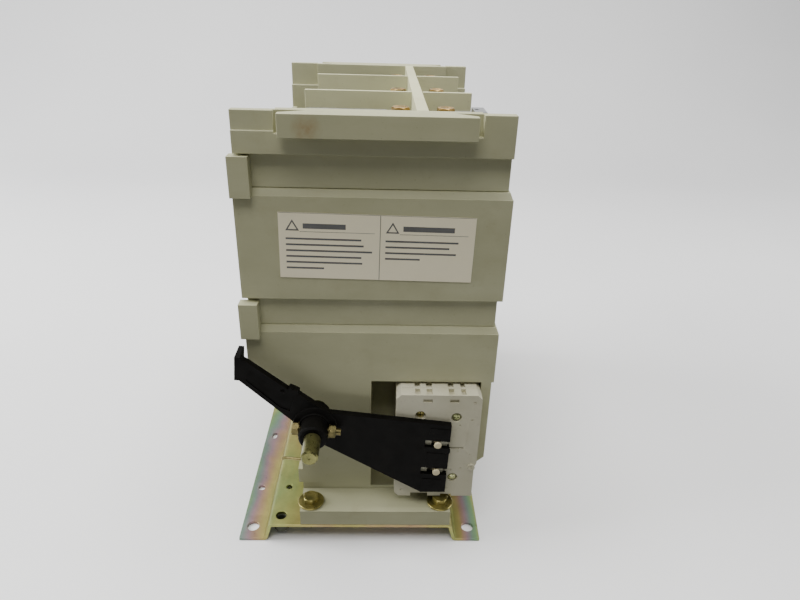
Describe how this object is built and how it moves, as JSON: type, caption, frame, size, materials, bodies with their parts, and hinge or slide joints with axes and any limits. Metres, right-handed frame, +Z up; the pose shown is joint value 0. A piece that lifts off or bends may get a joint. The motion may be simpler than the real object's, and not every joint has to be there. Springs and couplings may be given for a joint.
{
  "type": "three-pole vacuum switching unit",
  "caption": "Three-pole electromechanical vacuum switch in a moulded housing on a bent plated base plate, with a shaft, a forked lever and an auxiliary switch stack.",
  "frame": {"origin": "centre of the bounding box's lowest face, under the base plate", "axes": "+X to the right seen from the lever end, +Y from the lever end to the rear end, +Z up"},
  "size_m": [0.2294, 0.4294, 0.387],
  "materials": {
    "plated_plate": "yellow chromated zinc with an iridescent tint",
    "housing_moulding": "greenish grey thermoset, matt",
    "sticker": "white film, plain grey bars in place of its text",
    "plated_fasteners": "yellow chromated zinc",
    "ceramic_tube": "glazed alumina",
    "bare_copper": null,
    "tinned_bar": null,
    "spring_steel": "bright spring wire",
    "magnet_steel": "oiled electrical steel",
    "bush_bronze": "sintered bronze",
    "dark_moulding": "dark brown glass-filled moulding",
    "coil_winding": "taped and varnished winding",
    "black_moulding": "black moulding, matt",
    "switch_moulding": "off-white moulding",
    "pale_slide": "cream moulding"
  },
  "bodies": {
    "frame": {"base_plate": "plated_plate", "lower_housing": "housing_moulding", "pole_housing": "housing_moulding", "terminal_frame": "housing_moulding", "front_barrier": "housing_moulding", "rear_barrier": "housing_moulding", "spine_wall": "housing_moulding", "upper_tie_block": "housing_moulding", "lower_tie_block": "housing_moulding", "label_plate": "sticker", "foot_bolt_front_left": "plated_fasteners", "foot_bolt_front_right": "plated_fasteners", "foot_bolt_rear_left": "plated_fasteners", "foot_bolt_rear_right": "plated_fasteners", "terminal_bolt_left_1": "plated_fasteners", "terminal_bolt_right_1": "plated_fasteners", "terminal_bolt_left_2": "plated_fasteners", "terminal_bolt_right_2": "plated_fasteners", "terminal_bolt_left_3": "plated_fasteners", "terminal_bolt_right_3": "plated_fasteners", "aux_screw_1": "plated_fasteners", "aux_screw_2": "plated_fasteners", "aux_screw_3": "plated_fasteners", "vacuum_interrupter_1": "ceramic_tube", "vacuum_interrupter_2": "ceramic_tube", "vacuum_interrupter_3": "ceramic_tube", "flexible_link_1": "bare_copper", "flexible_link_2": "bare_copper", "flexible_link_3": "bare_copper", "upper_terminal_1": "tinned_bar", "upper_terminal_2": "tinned_bar", "upper_terminal_3": "tinned_bar", "lower_terminal_1": "tinned_bar", "lower_terminal_2": "tinned_bar", "lower_terminal_3": "tinned_bar", "opening_spring_1": "spring_steel", "opening_spring_2": "spring_steel", "magnet_yoke": "magnet_steel", "front_bush": "bush_bronze", "rear_bush": "bush_bronze", "coil_1": "coil_winding", "coil_2": "coil_winding", "aux_switch_1": "switch_moulding", "aux_switch_2": "switch_moulding", "aux_switch_3": "switch_moulding", "aux_switch_4": "switch_moulding"},
    "shaft_assembly": {"main_shaft": "plated_fasteners", "lock_pin": "plated_fasteners", "rocker": "dark_moulding", "armature": "magnet_steel", "aux_lever": "black_moulding", "clamp_bolt": "plated_fasteners", "clamp_nut": "plated_fasteners"},
    "contact_stem_1": {"moving_stem_1": "bare_copper", "contact_spring_1": "spring_steel"},
    "contact_stem_2": {"moving_stem_2": "bare_copper", "contact_spring_2": "spring_steel"},
    "contact_stem_3": {"moving_stem_3": "bare_copper", "contact_spring_3": "spring_steel"},
    "aux_slide_body": {"aux_slide": "pale_slide"}
  },
  "joints": [
    {"name": "shaft_rotation", "type": "hinge", "parent": "frame", "child": "shaft_assembly", "pos_m": [-0.04035, -0.14935, 0.1303], "axis": [0, -1, 0], "range_deg": [0, 4], "stiffness_Nm_per_rad": 30, "springref_deg": -2.86, "deforming": ["opening_spring_1", "opening_spring_2"]},
    {"name": "contact_travel_1", "type": "slide", "parent": "frame", "child": "contact_stem_1", "axis": [0, 0, 1], "range_m": [0, 0.0076], "deforming": ["flexible_link_1"]},
    {"name": "contact_travel_2", "type": "slide", "parent": "frame", "child": "contact_stem_2", "axis": [0, 0, 1], "range_m": [0, 0.0076], "deforming": ["flexible_link_2"]},
    {"name": "contact_travel_3", "type": "slide", "parent": "frame", "child": "contact_stem_3", "axis": [0, 0, 1], "range_m": [0, 0.0076], "deforming": ["flexible_link_3"]},
    {"name": "aux_slide_travel", "type": "slide", "parent": "frame", "child": "aux_slide_body", "axis": [0, 0, 1], "range_m": [0, 0.0077]}
  ],
  "couplings": [
    {"joint": "contact_travel_1", "follows": "shaft_rotation", "m_per_rad": 0.1051},
    {"joint": "contact_travel_2", "follows": "shaft_rotation", "m_per_rad": 0.1051},
    {"joint": "contact_travel_3", "follows": "shaft_rotation", "m_per_rad": 0.1051},
    {"joint": "aux_slide_travel", "follows": "shaft_rotation", "m_per_rad": 0.1079}
  ]
}
